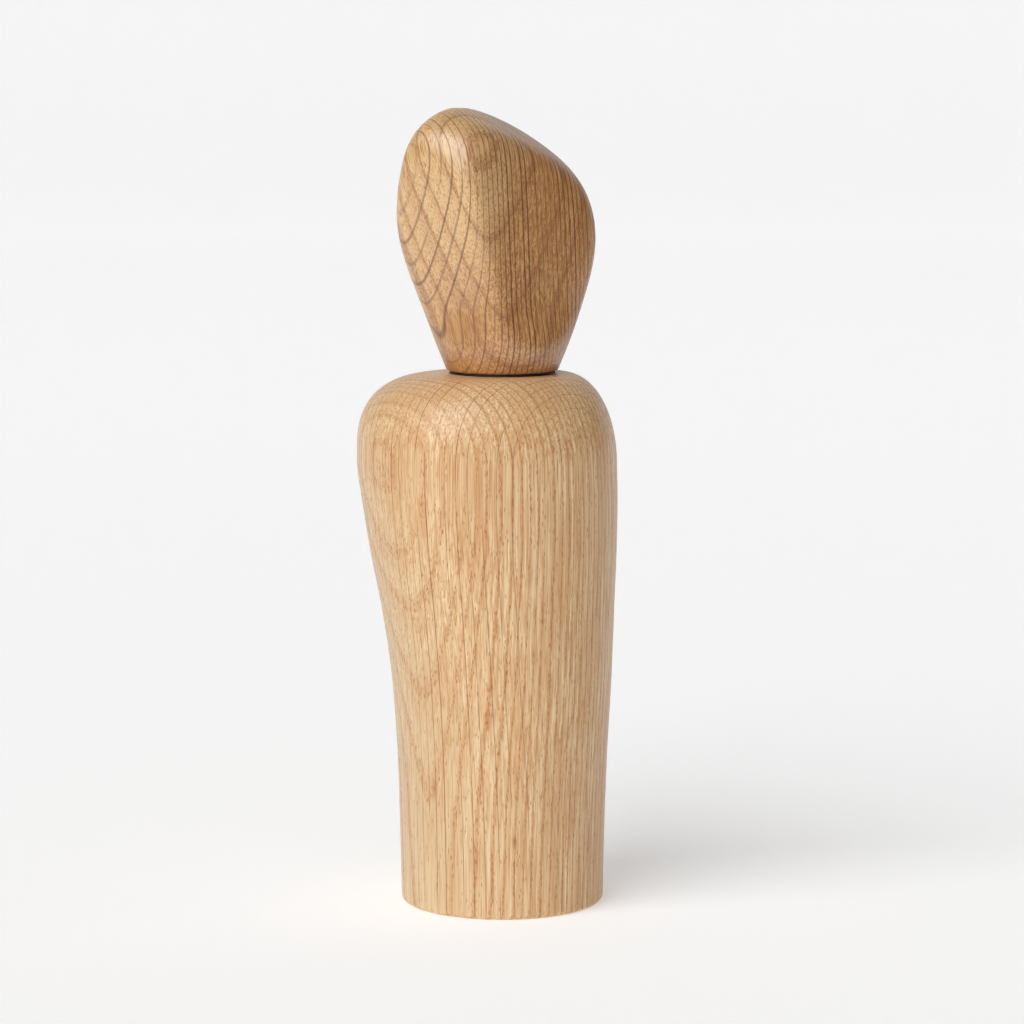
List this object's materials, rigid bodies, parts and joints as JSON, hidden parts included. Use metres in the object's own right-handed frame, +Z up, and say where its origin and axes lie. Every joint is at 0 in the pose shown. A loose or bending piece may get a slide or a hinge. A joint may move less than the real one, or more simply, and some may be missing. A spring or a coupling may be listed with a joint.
{
  "type": "pepper mill",
  "caption": "Kokeshi-shaped oak pepper mill: a soft-faceted pebble head turns a ceramic grinder in the base and lifts off to fill the hollow, uneven-shouldered body.",
  "frame": {"origin": "centre of the base on the mill axis, on the surface the mill stands on", "axes": "+Z up along the mill axis towards the head, -Y towards the front, +X to the front viewer's right"},
  "size_m": [0.069, 0.0624, 0.2104],
  "materials": {
    "oak_body": "oiled, satin",
    "oak_head": "oiled, satin",
    "black_plastic": "matte",
    "housing_plastic": "fine spark texture",
    "knob_plastic": "fine spark texture",
    "slide_plastic": "natural acetal",
    "grinder_ceramic": "sintered, unglazed",
    "shaft_aluminium": "drawn bar",
    "spring_steel": "bright wire",
    "zinc_screw": "zinc plated",
    "ring_rubber": "matte"
  },
  "bodies": {
    "body": {"body": "oak_body", "neck_collar": "black_plastic", "grinder_housing": "housing_plastic", "housing_screws": "zinc_screw", "stator_ring": "grinder_ceramic", "lower_bridge": "housing_plastic", "shaft_spider": "housing_plastic", "click_washer": "spring_steel"},
    "drive": {"drive_shaft": "shaft_aluminium", "shaft_circlip": "spring_steel", "grinder_spring": "spring_steel"},
    "rotor": {"rotor": "grinder_ceramic", "rotor_hub": "slide_plastic"},
    "lifter": {"lifter": "slide_plastic", "thrust_washer": "slide_plastic"},
    "adjuster": {"adjuster_knob": "knob_plastic", "knob_retainer": "spring_steel"},
    "head": {"head": "oak_head", "head_plug": "black_plastic", "plug_screws": "zinc_screw", "plug_clip": "spring_steel", "head_ring": "ring_rubber"}
  },
  "joints": [
    {"name": "head_turn", "type": "hinge", "parent": "body", "child": "drive", "pos_m": [0, 0, 0.09], "axis": [0, 0, 1], "continuous": true},
    {"name": "head_lift", "type": "slide", "parent": "drive", "child": "head", "axis": [0, 0, 1], "range_m": [0, 0.04]},
    {"name": "adjuster_turn", "type": "hinge", "parent": "body", "child": "adjuster", "pos_m": [0, 0, 0.01], "axis": [0, 0, 1], "range_deg": [0, 300]},
    {"name": "lifter_rise", "type": "slide", "parent": "body", "child": "lifter", "axis": [0, 0, 1], "range_m": [0, 0.0012]},
    {"name": "rotor_gap", "type": "slide", "parent": "drive", "child": "rotor", "axis": [0, 0, 1], "range_m": [0, 0.0012], "deforming": ["grinder_spring"]}
  ],
  "couplings": [
    {"joint": "adjuster_turn", "follows": "lifter_rise", "rad_per_m": 4363.3},
    {"joint": "rotor_gap", "follows": "lifter_rise", "ratio": 1}
  ]
}
